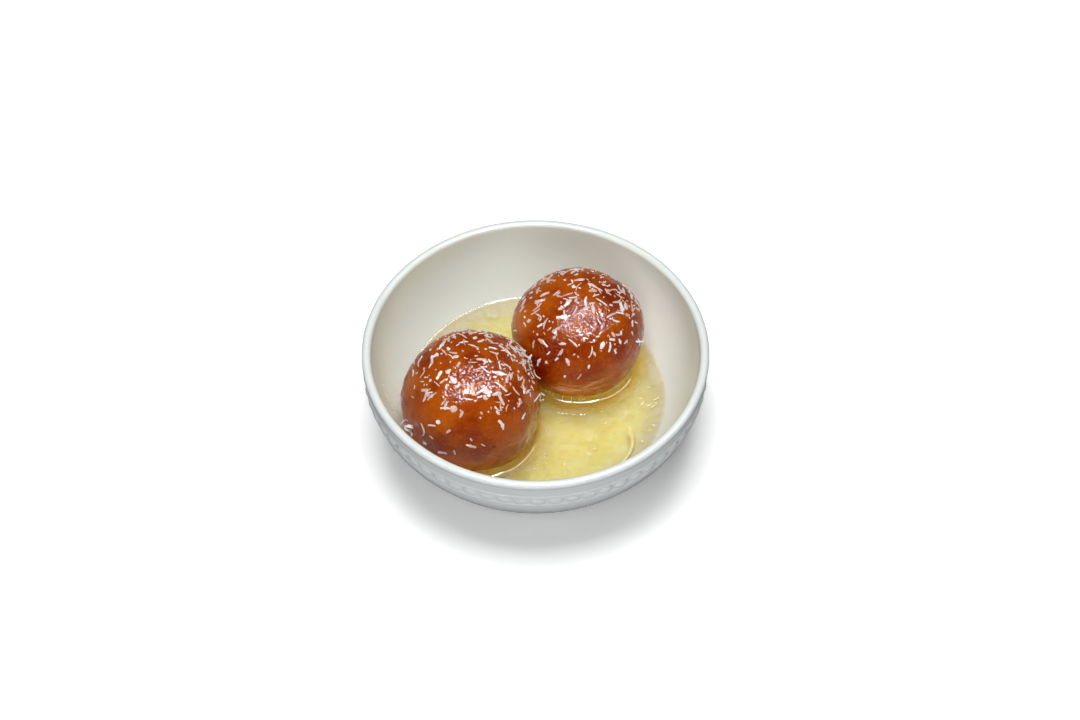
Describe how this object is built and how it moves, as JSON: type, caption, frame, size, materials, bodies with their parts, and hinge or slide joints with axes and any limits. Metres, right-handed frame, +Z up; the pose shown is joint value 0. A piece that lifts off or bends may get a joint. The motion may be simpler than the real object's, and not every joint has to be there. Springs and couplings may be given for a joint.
{
  "type": "gulab jamun in a bowl",
  "caption": "Gulab jamun, soft fried milk balls under desiccated coconut, in golden sugar syrup in a small white porcelain dessert bowl with a beaded band.",
  "frame": {"origin": "middle of the bowl's foot ring, on the surface it stands on", "axes": "+Z up, +Y to the back as the food is served, +X to the right"},
  "size_m": [0.116, 0.116, 0.0522],
  "materials": {
    "porcelain": "white glaze, glossy, slightly soft highlights",
    "sugar_syrup": "clear thin golden sugar syrup with a glossy surface",
    "fried_milk_dough": "fried milk dough soaked in syrup, orange-brown, wet gloss over fine wrinkles",
    "coconut": "white shreds of dry coconut, slightly see-through where wet"
  },
  "bodies": {
    "root": {"bowl": "porcelain", "syrup": "sugar_syrup", "gulab_jamun_front": "fried_milk_dough", "gulab_jamun_back": "fried_milk_dough"}
  },
  "joints": []
}
